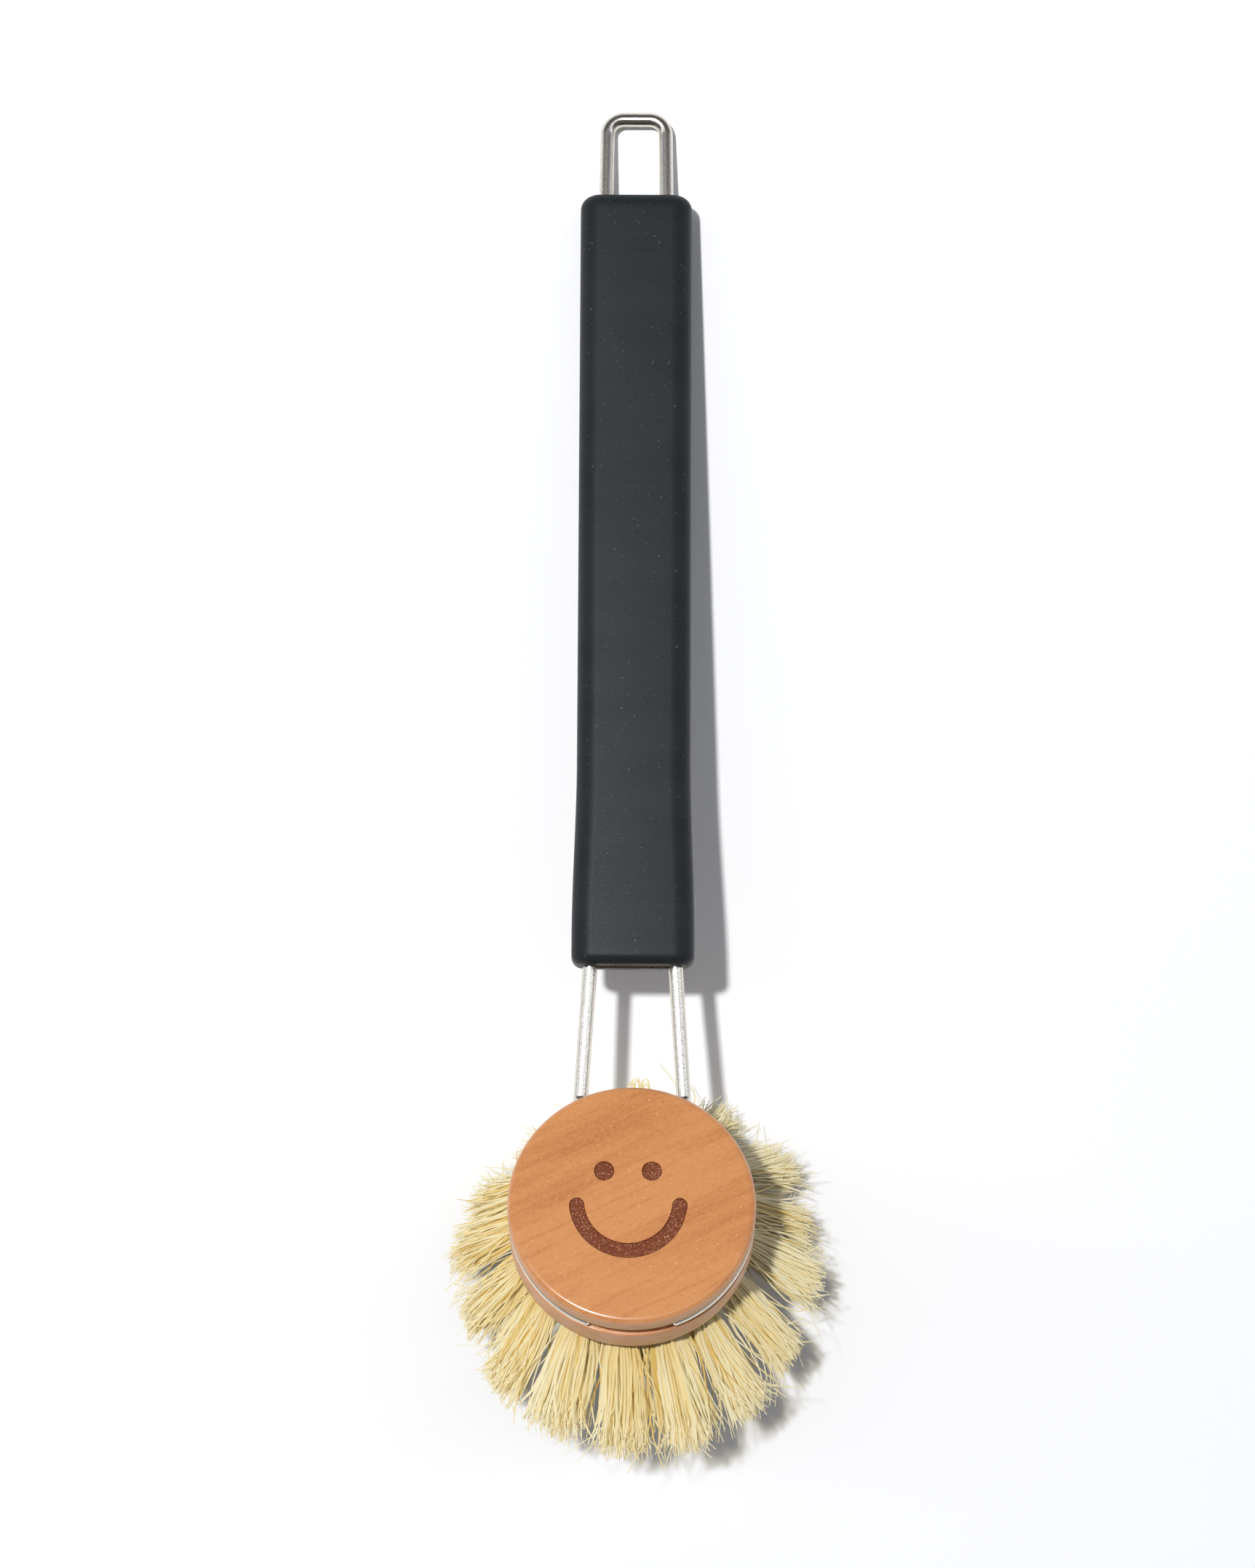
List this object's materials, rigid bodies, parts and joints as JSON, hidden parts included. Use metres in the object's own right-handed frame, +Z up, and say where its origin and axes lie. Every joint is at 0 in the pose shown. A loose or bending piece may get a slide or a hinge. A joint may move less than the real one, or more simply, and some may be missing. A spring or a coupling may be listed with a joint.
{
  "type": "dish brush",
  "caption": "Long-handled dish brush: flat moulded grip on a bent wire that ends in an open spring ring, which holds a replaceable round wooden head of natural fibre tufts.",
  "frame": {"origin": "on the table the brush lies on, under the middle of its bounding box", "axes": "+Y from the head to the hanging loop, +Z up from the table, +X to the right when the loop points away"},
  "size_m": [0.08, 0.281, 0.0653],
  "materials": {
    "wire": "satin, plated",
    "grip": "matt, finely grained",
    "wood": "turned and lacquered",
    "fibre": "natural plant fibre",
    "anchor": "bare drawn wire"
  },
  "bodies": {
    "handle": {"wire_frame": "wire", "cross_bar": "wire", "grip": "grip"},
    "head": {"head_block": "wood", "outer_tufts": "fibre", "middle_tufts": "fibre", "inner_tufts": "fibre", "centre_tuft": "fibre", "anchor_outer_01": "anchor", "anchor_outer_02": "anchor", "anchor_outer_03": "anchor", "anchor_outer_04": "anchor", "anchor_outer_05": "anchor", "anchor_outer_06": "anchor", "anchor_outer_07": "anchor", "anchor_outer_08": "anchor", "anchor_outer_09": "anchor", "anchor_outer_10": "anchor", "anchor_outer_11": "anchor", "anchor_outer_12": "anchor", "anchor_outer_13": "anchor", "anchor_outer_14": "anchor", "anchor_outer_15": "anchor", "anchor_outer_16": "anchor", "anchor_middle_01": "anchor", "anchor_middle_02": "anchor", "anchor_middle_03": "anchor", "anchor_middle_04": "anchor", "anchor_middle_05": "anchor", "anchor_middle_06": "anchor", "anchor_middle_07": "anchor", "anchor_middle_08": "anchor", "anchor_middle_09": "anchor", "anchor_middle_10": "anchor", "anchor_inner_01": "anchor", "anchor_inner_02": "anchor", "anchor_inner_03": "anchor", "anchor_inner_04": "anchor", "anchor_inner_05": "anchor", "anchor_centre_01": "anchor"}
  },
  "joints": [
    {"name": "head_spin", "type": "hinge", "parent": "handle", "child": "head", "pos_m": [0, -0.08983, 0.04945], "axis": [0, 0.411, 0.9116], "continuous": true}
  ]
}
